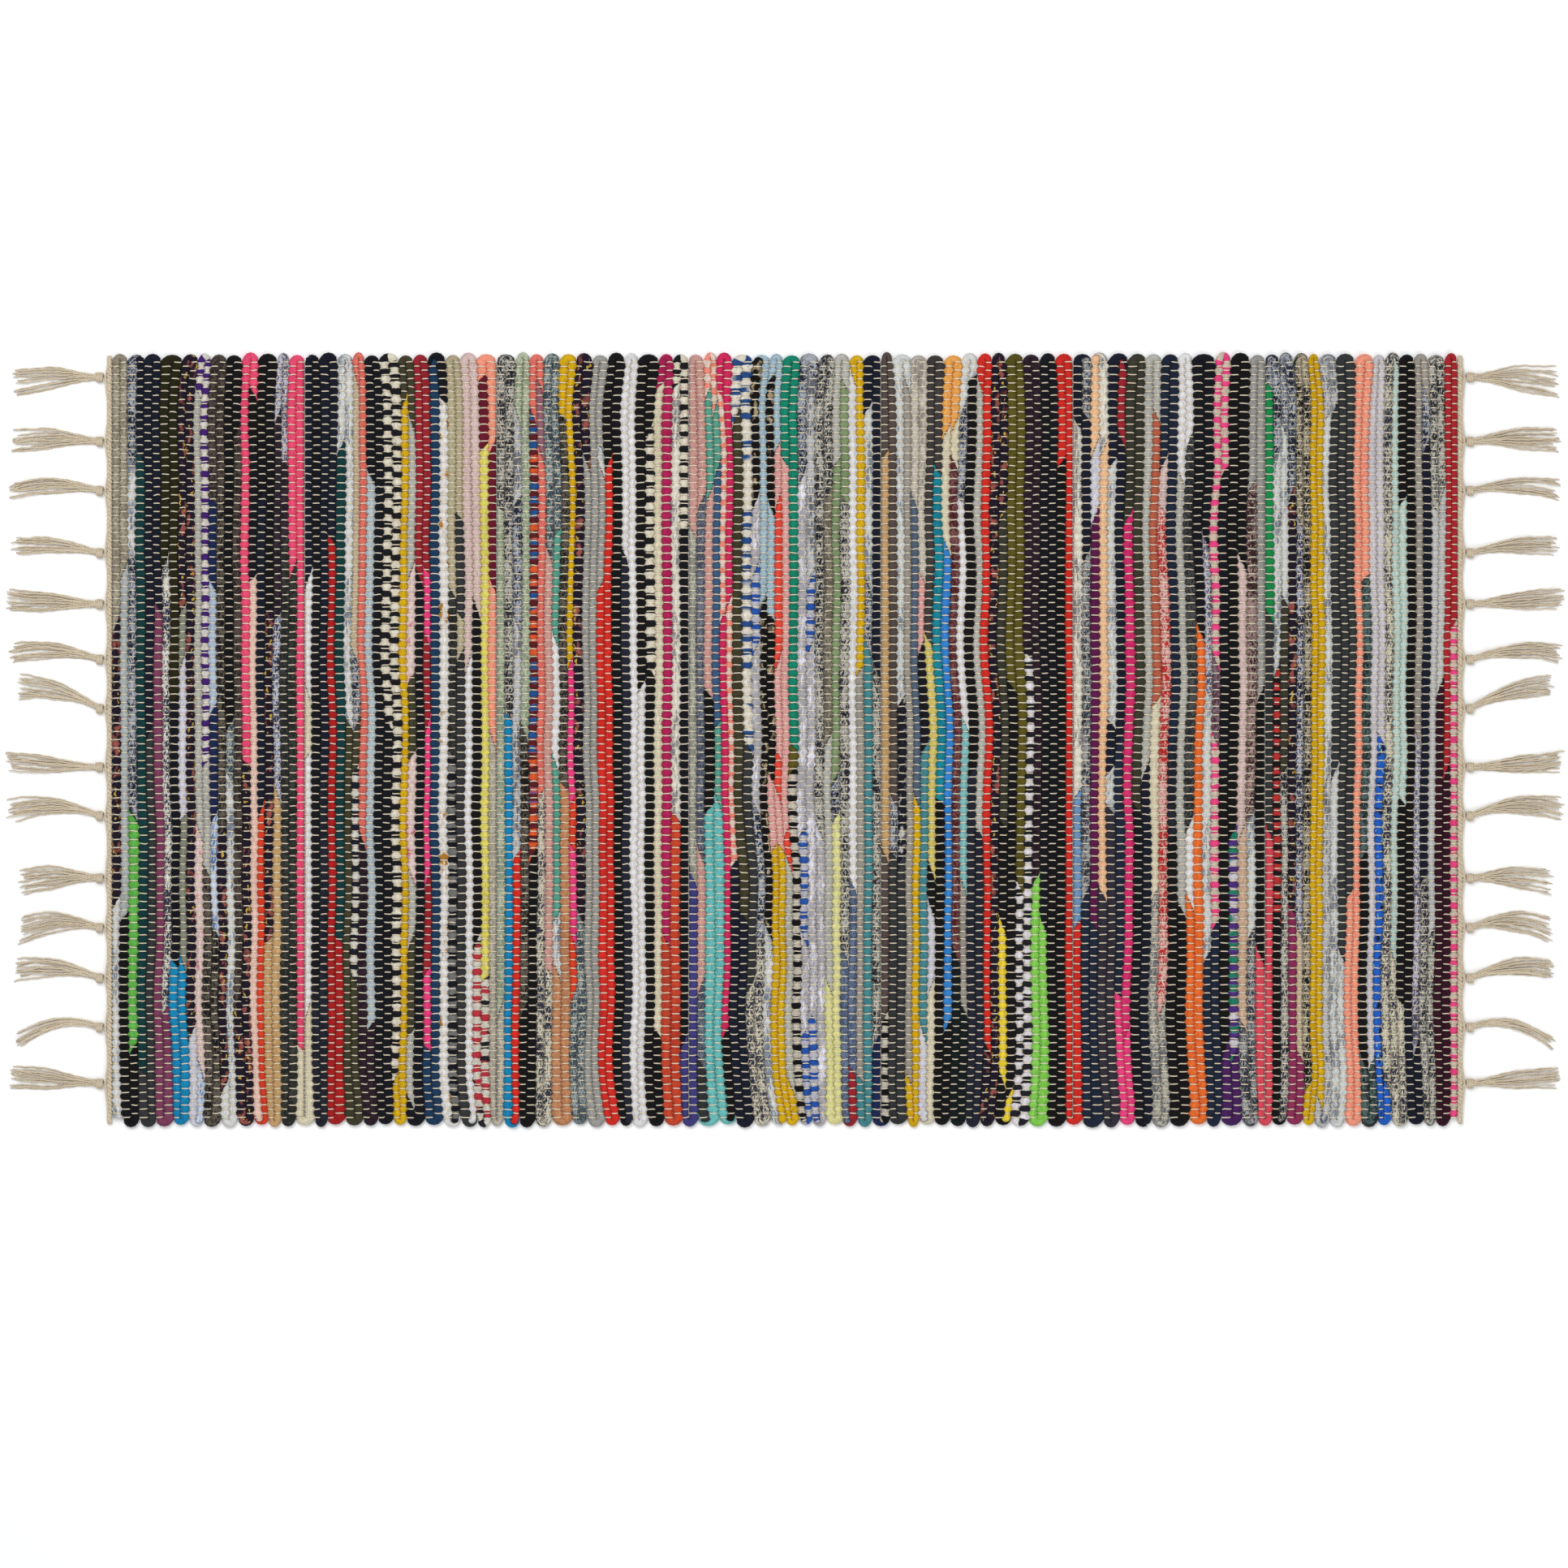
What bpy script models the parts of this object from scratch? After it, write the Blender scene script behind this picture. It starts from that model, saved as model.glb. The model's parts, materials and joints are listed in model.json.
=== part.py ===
"""Runner rug: a rag-woven runner with a twined heading and a row of knotted tassels at each end.

Metres, +Z up. The rug lies flat, with its length along X and its width along Y, and the origin is on
the floor under its middle.

A woven band is eight weft picks bound by the cotton warps. Three bands make a panel, and the rug bends
between two panels, in the furrow between their outer picks. Each tassel swings at its knot.
"""

import math

import bmesh
import bpy
from mathutils import Matrix

# The weave
PICK_PITCH = 0.00616  # from the middle of one weft pick to the next
PICKS_PER_BAND = 8
BANDS_PER_PANEL = 3
PANELS = 7
RUG_WIDTH = 0.596  # selvedge to selvedge
RUG_THICKNESS = 0.007  # crest to crest
CREST_WIDTH = 0.0027  # the part of a pick that lies flat on the floor
FURROW_DEPTH = 0.0015
LOOP_NOTCH = 0.003  # how far a selvedge dips between two turned loops
CLEARANCE = 0.0003  # between pieces that touch
BEND_GAP = 0.0006  # between the round sides of two panels, so that they can turn

# The headings
HEADING_WIDTH = 0.0048
HEADING_THICKNESS = 0.005
HEADING_POINT = 0.0015  # how far the warps are drawn out to a knot
HEADING_DRAW = 0.009  # how far along the edge a knot draws the warps from
HEADING_ROUNDING = 0.001

# The tassels
KNOT_RADIUS = 0.0035
KNOT_WIDTH = 0.0084
NECK_WIDTH = 0.0056
NECK_THICKNESS = 0.0046
SKIRT_THICKNESS = 0.0046
TASSEL_SIDES = 8
# Place as a share of the half width, then sway halfway, sway at the tip, reach past the heading and
# half the spread of the skirt.
TASSELS = (
    (0.936, 0.000, -0.004, 0.0740, 0.0110),
    (0.770, 0.003, 0.002, 0.0740, 0.0094),
    (0.643, 0.004, 0.000, 0.0755, 0.0081),
    (0.482, 0.006, 0.006, 0.0725, 0.0075),
    (0.350, 0.002, 0.004, 0.0778, 0.0087),
    (0.207, 0.007, 0.005, 0.0755, 0.0072),
    (0.080, 0.013, 0.016, 0.0700, 0.0085),
    (-0.071, 0.002, 0.005, 0.0774, 0.0081),
    (-0.197, 0.008, 0.004, 0.0768, 0.0080),
    (-0.358, 0.001, -0.002, 0.0675, 0.0100),
    (-0.486, 0.005, -0.001, 0.0685, 0.0098),
    (-0.616, 0.008, 0.006, 0.0705, 0.0081),
    (-0.743, 0.003, -0.011, 0.0710, 0.0045),
    (-0.888, 0.003, 0.006, 0.0760, 0.0090),
)

# The main colour of each band's rags, from the left end to the right.
BAND_COLOURS = (
    (0.034, 0.045, 0.060),
    (0.110, 0.095, 0.130),
    (0.640, 0.070, 0.130),
    (0.012, 0.017, 0.036),
    (0.600, 0.330, 0.020),
    (0.640, 0.480, 0.450),
    (0.390, 0.430, 0.330),
    (0.045, 0.028, 0.070),
    (0.680, 0.620, 0.520),
    (0.400, 0.215, 0.180),
    (0.012, 0.270, 0.175),
    (0.340, 0.350, 0.330),
    (0.150, 0.125, 0.115),
    (0.520, 0.016, 0.020),
    (0.130, 0.110, 0.020),
    (0.700, 0.350, 0.190),
    (0.105, 0.105, 0.090),
    (0.560, 0.025, 0.160),
    (0.045, 0.060, 0.085),
    (0.780, 0.180, 0.115),
    (0.390, 0.470, 0.430),
)
WARP_COLOUR = (0.560, 0.450, 0.300)
RAG_ROUGHNESS = 0.92
COTTON_ROUGHNESS = 0.88

BAND_LENGTH = PICKS_PER_BAND * PICK_PITCH
PANEL_LENGTH = BANDS_PER_PANEL * BAND_LENGTH
WEAVE_END = PANELS * PANEL_LENGTH / 2
HEADING_EDGE = WEAVE_END + HEADING_WIDTH
KNOT_X = HEADING_EDGE + HEADING_POINT + CLEARANCE + KNOT_RADIUS
MIDDLE_HEIGHT = RUG_THICKNESS / 2

for old in list(bpy.data.objects):
    bpy.data.objects.remove(old, do_unlink=True)

rug_parts = bpy.data.collections.new("runner_rug")
cutters = bpy.data.collections.new("cutters")
bpy.context.scene.collection.children.link(rug_parts)
bpy.context.scene.collection.children.link(cutters)


def material(name, colour, roughness):
    """A plain cloth or cotton finish."""
    made = bpy.data.materials.new(name)
    made.use_nodes = True
    shader = made.node_tree.nodes["Principled BSDF"]
    shader.inputs["Base Color"].default_value = (*colour, 1.0)
    shader.inputs["Roughness"].default_value = roughness
    shader.inputs["Metallic"].default_value = 0.0
    return made


def empty(name, x, parent=None):
    """The frame of one panel, on the furrow that it turns about."""
    made = bpy.data.objects.new(name, None)
    made.location = (x, 0.0, MIDDLE_HEIGHT)
    rug_parts.objects.link(made)
    bpy.context.view_layer.update()
    hang_on(made, parent)
    return made


def hang_on(child, parent):
    """Parents an object where it stands."""
    if parent is None:
        return
    bpy.context.view_layer.update()
    child.parent = parent
    child.matrix_parent_inverse = parent.matrix_world.inverted()


def flat_curve(name, points, half_thickness, rounding=0.0):
    """A flat outline, filled and given a thickness, with its edge rounded inside the outline."""
    curve = bpy.data.curves.new(name, "CURVE")
    curve.dimensions = "2D"
    curve.fill_mode = "BOTH"
    curve.extrude = half_thickness - rounding
    curve.bevel_depth = rounding
    curve.bevel_resolution = 0
    curve.offset = -rounding
    spline = curve.splines.new("POLY")
    spline.points.add(len(points) - 1)
    for point, (x, y) in zip(spline.points, points):
        point.co = (x, y, 0.0, 1.0)
    spline.use_cyclic_u = True
    return bpy.data.objects.new(name, curve)


def outline_solid(name, points, half_thickness, turn, collection):
    """A flat outline made solid as a mesh, so that it can cut or be cut."""
    flat = flat_curve(name + "_outline", points, half_thickness)
    collection.objects.link(flat)
    bpy.context.view_layer.update()
    evaluated = flat.evaluated_get(bpy.context.evaluated_depsgraph_get())
    mesh = bpy.data.meshes.new_from_object(evaluated)
    bpy.data.objects.remove(flat, do_unlink=True)
    shape = bmesh.new()
    shape.from_mesh(mesh)
    bmesh.ops.remove_doubles(shape, verts=shape.verts, dist=1e-6)
    bmesh.ops.transform(shape, matrix=turn, verts=shape.verts)
    bmesh.ops.recalc_face_normals(shape, faces=shape.faces)
    shape.to_mesh(mesh)
    shape.free()
    made = bpy.data.objects.new(name, mesh)
    collection.objects.link(made)
    return made


def round_side(middle_x, outward):
    """The half-round side of a band's outer pick, from the top crest down to the bottom one."""
    steps = 6
    points = []
    for step in range(steps + 1):
        angle = math.pi / 2 - math.pi * step / steps
        x = middle_x + outward * MIDDLE_HEIGHT * math.cos(angle)
        points.append((x, MIDDLE_HEIGHT * math.sin(angle)))
    return points


def ribbed_edge(side):
    """The crests and furrows along the top (side 1) or the bottom (side -1) of a band, left to right."""
    round_start = BAND_LENGTH / 2 - MIDDLE_HEIGHT - BEND_GAP / 2 - CLEARANCE
    points = []
    for pick in range(PICKS_PER_BAND):
        middle = (pick + 0.5) * PICK_PITCH - BAND_LENGTH / 2
        if pick > 0:
            furrow = middle - PICK_PITCH / 2
            crest = min(middle - CREST_WIDTH / 2, round_start)
            points.append((furrow, side * (MIDDLE_HEIGHT - FURROW_DEPTH)))
            points.append((crest, side * MIDDLE_HEIGHT))
        if pick < PICKS_PER_BAND - 1:
            crest = max(middle + CREST_WIDTH / 2, -round_start)
            points.append((crest, side * MIDDLE_HEIGHT))
    return points


def band_section(left_gap, right_gap):
    """The cross-section of a band, with half a gap left at each side."""
    reach = BAND_LENGTH / 2 - MIDDLE_HEIGHT
    right = round_side(reach - right_gap / 2, 1)
    left = round_side(left_gap / 2 - reach, -1)
    return ribbed_edge(1) + right + ribbed_edge(-1)[::-1] + left[::-1]


def selvedge(first_pick, side):
    """One edge of a band seen from above: every two picks are one strip that turns back on itself."""
    turning_points = (0.0, 0.4, 1.6, 2.0) if side > 0 else (0.0, 0.6, 1.0, 1.4)
    shift = 0.0 if side > 0 else 1.0
    marks = {0.0, float(PICKS_PER_BAND)}
    for pair in range(-1, PICKS_PER_BAND):
        for mark in turning_points:
            at = 2.0 * pair + mark - first_pick % 2
            if 0.0 < at < PICKS_PER_BAND:
                marks.add(round(at, 3))
    points = []
    for at in sorted(marks):
        across = (at + first_pick + shift) % 2.0 - 1.0
        inset = LOOP_NOTCH * abs(across) ** 3
        points.append((at * PICK_PITCH - BAND_LENGTH / 2, side * (RUG_WIDTH / 2 - inset)))
    return points


def woven_band(index, panel):
    """Eight picks of rag weft as one ribbed slab, with a looped selvedge at each end."""
    name = "woven_band_%02d" % (index + 1)
    in_panel = index % BANDS_PER_PANEL
    ends = (index == 0, index == PANELS * BANDS_PER_PANEL - 1)
    left_gap = BEND_GAP if in_panel == 0 and not ends[0] else CLEARANCE
    right_gap = BEND_GAP if in_panel == BANDS_PER_PANEL - 1 and not ends[1] else CLEARANCE
    along_width = Matrix.Rotation(math.pi / 2, 4, "X")
    section = band_section(left_gap, right_gap)
    band = outline_solid(name, section, RUG_WIDTH, along_width, rug_parts)
    first_pick = index * PICKS_PER_BAND
    plan = selvedge(first_pick, 1) + selvedge(first_pick, -1)[::-1]
    cutter = outline_solid(name + "_plan", plan, RUG_THICKNESS, Matrix.Identity(4), cutters)
    cutter.hide_render = True
    cutter.display_type = "WIRE"
    middle = (index + 0.5) * BAND_LENGTH - WEAVE_END
    band.location = (middle, 0.0, MIDDLE_HEIGHT)
    cutter.location = band.location
    trim = band.modifiers.new("selvedges", "BOOLEAN")
    trim.operation = "INTERSECT"
    trim.solver = "EXACT"
    trim.object = cutter
    band.data.materials.append(material(name, BAND_COLOURS[index], RAG_ROUGHNESS))
    hang_on(band, panel)
    hang_on(cutter, panel)
    return band


def heading(name, side, panel):
    """The twined band of warp ends. Its outer edge is drawn out to a point at each knot."""
    inner = WEAVE_END + CLEARANCE / 2
    half = RUG_WIDTH / 2 - LOOP_NOTCH
    points = [(inner, half), (HEADING_EDGE, half)]
    for share, *_ in TASSELS:
        middle = share * RUG_WIDTH / 2
        for along in (1.0, 0.5, 0.0, -0.5, -1.0):
            out = HEADING_POINT * (1 - abs(along)) ** 2
            points.append((HEADING_EDGE + out, middle + along * HEADING_DRAW))
    points += [(HEADING_EDGE, -half), (inner, -half)]
    outline = [(side * x, y) for x, y in points]
    made = flat_curve(name, outline, HEADING_THICKNESS / 2, HEADING_ROUNDING)
    made.location = (0.0, 0.0, MIDDLE_HEIGHT)
    made.data.materials.append(material(name, WARP_COLOUR, COTTON_ROUGHNESS))
    rug_parts.objects.link(made)
    hang_on(made, panel)
    return made


def ring(x, y, z, half_width, half_height):
    """One oval section of a tassel."""
    points = []
    for corner in range(TASSEL_SIDES):
        angle = 2 * math.pi * (corner + 0.5) / TASSEL_SIDES
        points.append((x, y + half_width * math.cos(angle), z + half_height * math.sin(angle)))
    return points


def loft(name, rings):
    """A closed solid through a row of rings, with flat ends."""
    shape = bmesh.new()
    loops = []
    for points in rings:
        corners = [shape.verts.new(point) for point in points]
        loops.append([shape.edges.new(pair) for pair in zip(corners, corners[1:] + corners[:1])])
    for near, far in zip(loops, loops[1:]):
        bmesh.ops.bridge_loops(shape, edges=near + far)
    bmesh.ops.holes_fill(shape, edges=loops[0] + loops[-1], sides=TASSEL_SIDES)
    bmesh.ops.recalc_face_normals(shape, faces=shape.faces)
    mesh = bpy.data.meshes.new(name)
    shape.to_mesh(mesh)
    shape.free()
    return mesh


def tassel(name, side, place, panel):
    """A round overhand knot and the skirt of loose warp ends beyond it, all the same yarns."""
    share, sway_middle, sway_tip, reach, spread = place
    length = HEADING_EDGE + reach - KNOT_X
    neck = KNOT_RADIUS * 1.4
    stations = [
        (-0.92 * KNOT_RADIUS, 0.38 * KNOT_WIDTH / 2, 0.38 * KNOT_RADIUS),
        (-0.60 * KNOT_RADIUS, 0.80 * KNOT_WIDTH / 2, 0.80 * KNOT_RADIUS),
        (0.0, KNOT_WIDTH / 2, KNOT_RADIUS),
        (0.70 * KNOT_RADIUS, 0.80 * KNOT_WIDTH / 2, 0.71 * KNOT_RADIUS),
        (neck, NECK_WIDTH / 2, NECK_THICKNESS / 2),
        (0.25 * length, (NECK_WIDTH / 2 + spread) / 2, SKIRT_THICKNESS / 2),
        (0.60 * length, 0.85 * spread, SKIRT_THICKNESS / 2),
        (0.92 * length, spread, 0.9 * SKIRT_THICKNESS / 2),
        (length, 0.8 * spread, 0.6 * SKIRT_THICKNESS / 2),
    ]
    round_height = 1 / math.cos(math.pi / TASSEL_SIDES)
    rings = []
    for x, half_width, half_height in stations:
        along = max(x - neck, 0.0) / (length - neck)
        sway = sway_middle * 4 * along * (1 - along) + sway_tip * along * (2 * along - 1)
        lies_at = half_height if along > 0.2 else KNOT_RADIUS
        rings.append(ring(side * x, sway, lies_at - KNOT_RADIUS, half_width, half_height * round_height))
    made = bpy.data.objects.new(name, loft(name, rings))
    made.location = (side * KNOT_X, share * RUG_WIDTH / 2, KNOT_RADIUS)
    made.data.materials.append(material(name, WARP_COLOUR, COTTON_ROUGHNESS))
    rug_parts.objects.link(made)
    hang_on(made, panel)
    return made


middle_panel = PANELS // 2
panels = {middle_panel: empty("panel_%d" % (middle_panel + 1), 0.0)}
for step in range(1, middle_panel + 1):
    bend = (step - 0.5) * PANEL_LENGTH
    for side in (-1, 1):
        number = middle_panel + side * step
        panels[number] = empty("panel_%d" % (number + 1), side * bend, panels[number - side])

for index in range(PANELS * BANDS_PER_PANEL):
    woven_band(index, panels[index // BANDS_PER_PANEL])

for end, side, panel in (("left", -1, panels[0]), ("right", 1, panels[PANELS - 1])):
    heading("heading_" + end, side, panel)
    for number, place in enumerate(TASSELS, 1):
        tassel("tassel_%s_%02d" % (end, number), side, place, panel)
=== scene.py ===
"""Runner rug: a rag-woven runner, its twined headings and its knotted warp tassels. Metres, +Z up."""

import json
import math

import bpy
import numpy as np
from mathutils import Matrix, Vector


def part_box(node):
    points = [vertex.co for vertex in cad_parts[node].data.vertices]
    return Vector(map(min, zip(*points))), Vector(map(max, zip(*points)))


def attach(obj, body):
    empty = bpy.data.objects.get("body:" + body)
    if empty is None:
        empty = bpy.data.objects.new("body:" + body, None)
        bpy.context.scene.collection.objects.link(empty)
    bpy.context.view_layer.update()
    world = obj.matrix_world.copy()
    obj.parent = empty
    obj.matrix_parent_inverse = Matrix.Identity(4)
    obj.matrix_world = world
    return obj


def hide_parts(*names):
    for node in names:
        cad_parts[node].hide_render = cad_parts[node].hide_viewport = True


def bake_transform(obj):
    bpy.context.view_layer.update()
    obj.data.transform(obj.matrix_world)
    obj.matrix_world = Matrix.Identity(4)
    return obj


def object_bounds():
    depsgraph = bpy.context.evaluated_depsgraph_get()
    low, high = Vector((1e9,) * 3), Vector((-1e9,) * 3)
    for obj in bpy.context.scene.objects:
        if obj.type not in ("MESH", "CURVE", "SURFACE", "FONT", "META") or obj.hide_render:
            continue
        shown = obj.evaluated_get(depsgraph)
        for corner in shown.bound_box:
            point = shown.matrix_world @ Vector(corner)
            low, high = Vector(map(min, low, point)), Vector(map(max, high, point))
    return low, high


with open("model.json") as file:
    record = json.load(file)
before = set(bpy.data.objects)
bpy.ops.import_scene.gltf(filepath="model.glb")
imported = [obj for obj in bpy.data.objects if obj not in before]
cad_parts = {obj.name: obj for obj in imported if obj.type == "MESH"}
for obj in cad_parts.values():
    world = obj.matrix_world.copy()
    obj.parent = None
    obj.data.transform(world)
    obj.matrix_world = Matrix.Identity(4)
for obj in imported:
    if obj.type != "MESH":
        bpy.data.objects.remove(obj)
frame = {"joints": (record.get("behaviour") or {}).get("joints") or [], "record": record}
cad_low, cad_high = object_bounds()


# The view and the light. A long lens looks straight down at the rug, which lies on a plain white
# studio floor under one wide soft light overhead and a gentler one from the far side.
LENS = 100.0
SENSOR = 36.0
FRAME_WIDTH = 1.2056
VIEW_OFFSET = (-0.0006, -0.0337)
middle = (cad_low + cad_high) / 2
camera_data = bpy.data.cameras.new("camera")
camera_data.lens = LENS
camera_data.sensor_width = SENSOR
camera = bpy.data.objects.new("camera", camera_data)
camera_height = cad_high.z + FRAME_WIDTH * LENS / SENSOR
camera.location = (middle.x + VIEW_OFFSET[0], middle.y + VIEW_OFFSET[1], camera_height)
camera_data.clip_end = 20.0
bpy.context.scene.collection.objects.link(camera)
bpy.context.scene.camera = camera
bpy.context.scene.view_settings.view_transform = "Standard"


def area_light(name, place, aim, size, power):
    light = bpy.data.lights.new(name, "AREA")
    light.shape = "SQUARE"
    light.size = size
    light.energy = power
    lamp = bpy.data.objects.new(name, light)
    lamp.location = place
    direction = middle + Vector(aim) - Vector(place)
    lamp.rotation_euler = direction.to_track_quat("-Z", "Y").to_euler()
    bpy.context.scene.collection.objects.link(lamp)


area_light("overhead_light", (-0.5, 0.9, 2.6), (0.0, 0.0, 0.0), 1.6, 47.0)
area_light("fill_light", (0.8, -1.2, 2.2), (0.0, 0.0, 0.0), 1.8, 18.5)
world = bpy.data.worlds.new("studio")
world.use_nodes = True
world.node_tree.nodes["Background"].inputs["Color"].default_value = (0.95, 0.97, 1.0, 1.0)
world.node_tree.nodes["Background"].inputs["Strength"].default_value = 0.45
bpy.context.scene.world = world

floor_mesh = bpy.data.meshes.new("studio_floor")
floor_mesh.from_pydata([(-6, -6, 0), (6, -6, 0), (6, 6, 0), (-6, 6, 0)], [], [(0, 1, 2, 3)])
floor = bpy.data.objects.new("studio_floor", floor_mesh)
floor_paint = bpy.data.materials.new("floor_paper")
floor_paint.use_nodes = True
floor_shader = floor_paint.node_tree.nodes["Principled BSDF"]
floor_shader.inputs["Base Color"].default_value = (0.98, 0.98, 0.98, 1.0)
floor_shader.inputs["Roughness"].default_value = 0.9
floor_mesh.materials.append(floor_paint)
bpy.context.scene.collection.objects.link(floor)
floor.location.z = cad_low.z - 0.0002


# The cloths. Worn-out garments and mill ends are cut into strips: plain jersey, flecked knit, printed
# cottons, striped tees, fluffy boucle. Each has a thickness, two or three dye colours and one finish.
class Wire:
    """A shader socket that can be used in a Python expression."""

    def __init__(self, tree, socket):
        self.tree = tree
        self.socket = socket

    def node(self, kind, settings=None, inputs=None, output=0):
        made = self.tree.nodes.new(kind)
        for key, value in (settings or {}).items():
            setattr(made, key, value)
        for key, value in (inputs or {}).items():
            if isinstance(value, Wire):
                self.tree.links.new(value.socket, made.inputs[key])
            else:
                made.inputs[key].default_value = value
        return Wire(self.tree, made.outputs[output])

    def maths(self, operation, *others):
        inputs = {0: self}
        for place, other in enumerate(others, 1):
            inputs[place] = other
        return self.node("ShaderNodeMath", {"operation": operation}, inputs)

    def __add__(self, other):
        return self.maths("ADD", other)

    __radd__ = __add__

    def __mul__(self, other):
        return self.maths("MULTIPLY", other)

    __rmul__ = __mul__

    def __sub__(self, other):
        return self.maths("SUBTRACT", other)

    def __rsub__(self, other):
        return (self * -1.0) + other

    def clamp(self):
        return self.node("ShaderNodeClamp", {}, {0: self})

    def ramp(self, low, high):
        return self.node("ShaderNodeMapRange", {"clamp": True}, {0: self, 1: low, 2: high, 3: 0.0, 4: 1.0})

    def mix(self, first, second):
        """Colour mix, with this wire as the share of the second colour."""
        return self.node("ShaderNodeMix", {"data_type": "RGBA"}, {0: self, 6: first, 7: second}, 2)


def cloth_material(name):
    """A new material, its tree's first wire and its shader."""
    made = bpy.data.materials.new(name)
    made.use_nodes = True
    shader = made.node_tree.nodes["Principled BSDF"]
    start = Wire(made.node_tree, shader.outputs[0])
    return made, start, shader


def feed(shader, wire, socket):
    wire.tree.links.new(wire.socket, shader.inputs[socket])


def attribute(start, name, output="Color"):
    kind = {"attribute_type": "GEOMETRY", "attribute_name": name}
    return start.node("ShaderNodeAttribute", kind, {}, output)


def noise(start, vector, scale, detail=2.0, roughness=0.5):
    inputs = {"Vector": vector, "Scale": scale, "Detail": detail, "Roughness": roughness}
    return start.node("ShaderNodeTexNoise", {}, inputs)


def stretched(start, vector, size):
    """The strip's own coordinates scaled to threads of this size: along it, across it and round it."""
    inputs = {0: vector, 1: size}
    return start.node("ShaderNodeVectorMath", {"operation": "MULTIPLY"}, inputs)


def rag_finish(name, pattern, knit_shade_depth, fuzz):
    """One kind of rag cloth. pattern gives the shares of the second dye and, if it has one, the third."""
    made, start, shader = cloth_material(name)
    place = attribute(start, "strip_place", "Vector")
    first = attribute(start, "dye_first")
    second = attribute(start, "dye_second")
    share_second, share_third = pattern(start, place)
    colour = share_second.mix(first, second)
    if share_third:
        colour = share_third.mix(colour, attribute(start, "dye_third"))
    folds = noise(start, stretched(start, place, (260.0, 1500.0, 1500.0)), 1.0, 2.0, 0.6)
    knit = noise(start, stretched(start, place, (2600.0, 2600.0, 2600.0)), 1.0, 1.0, 0.5)
    # Painted shade: the dyes are darkened in the creases of the folds and between the knit's stitches, the
    # same hollows that the bump below sinks.
    shade = (folds.ramp(0.28, 0.72) * 0.42 + knit.ramp(0.25, 0.75) * knit_shade_depth + 0.49).clamp()
    dark = start.node("ShaderNodeCombineXYZ", {}, {0: shade, 1: shade, 2: shade})
    painted_shade_inputs = {0: 1.0, 6: colour, 7: dark}
    colour = start.node("ShaderNodeMix", {"data_type": "RGBA", "blend_type": "MULTIPLY"}, painted_shade_inputs, 2)
    feed(shader, colour, "Base Color")
    shader.inputs["Roughness"].default_value = 0.88
    shader.inputs["Specular IOR Level"].default_value = 0.12
    shader.inputs["Sheen Weight"].default_value = fuzz
    shader.inputs["Sheen Roughness"].default_value = 0.6
    height = folds * 0.7 + knit * 0.3
    bump = start.node(
        "ShaderNodeBump", {}, {"Strength": 0.6, "Distance": 0.0012, "Height": height}
    )
    feed(shader, bump, "Normal")
    return made


def plain(start, place):
    """Even dye, only clouded a little by washing and long use."""
    cloud = noise(start, stretched(start, place, (18.0, 60.0, 60.0)), 1.0)
    return cloud.ramp(0.45, 0.75) * 0.5, None


def flecked(start, place):
    """Two-colour yarn knitted together: short flecks that lie along the strip."""
    fine = noise(start, stretched(start, place, (420.0, 1300.0, 1300.0)), 1.0, 1.0, 0.5)
    patch = noise(start, stretched(start, place, (55.0, 160.0, 160.0)), 1.0, 1.0, 0.5)
    return (fine + patch * 0.7).ramp(0.76, 0.94), None


def printed(start, place):
    """A dark ground with small printed blooms in two colours."""
    blooms = noise(start, stretched(start, place, (90.0, 210.0, 210.0)), 1.0, 1.5, 0.6)
    buds = noise(start, stretched(start, place, (150.0, 330.0, 330.0)), 1.3, 1.0, 0.5)
    return blooms.ramp(0.58, 0.66), buds.ramp(0.66, 0.71)


def striped(start, place):
    """Bars across the strip, the stripes of a sailor tee cut on its length."""
    parts = start.node("ShaderNodeSeparateXYZ", {}, {0: place})
    along = Wire(start.tree, parts.socket.node.outputs[0])
    wobble = noise(start, stretched(start, place, (60.0, 260.0, 260.0)), 1.0)
    bars = (along * 590.0 + wobble * 1.6).maths("SINE").ramp(-0.1, 0.15)
    blocks = noise(start, stretched(start, place, (45.0, 20.0, 20.0)), 1.0, 1.0, 0.4)
    return bars, bars * blocks.ramp(0.47, 0.5)


def fluffy(start, place):
    """Looped boucle with stray fibres of its second colour, drawn out along the strip."""
    fibres = noise(start, stretched(start, place, (110.0, 900.0, 900.0)), 1.0, 2.5, 0.65)
    patch = noise(start, stretched(start, place, (40.0, 120.0, 120.0)), 1.0)
    return (fibres + patch * 0.9).ramp(0.94, 1.12), None


# After each pattern come the depth of the painted shade between the knit's stitches and the sheen weight.
RAG_KINDS = {
    "plain": rag_finish("plain_jersey", plain, 0.16, 0.03),
    "fleck": rag_finish("flecked_knit", flecked, 0.14, 0.05),
    "print": rag_finish("printed_cotton", printed, 0.12, 0.02),
    "bars": rag_finish("striped_jersey", striped, 0.14, 0.03),
    "fluff": rag_finish("fluffy_boucle", fluffy, 0.30, 0.15),
}
RAG_ORDER = list(RAG_KINDS)
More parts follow.
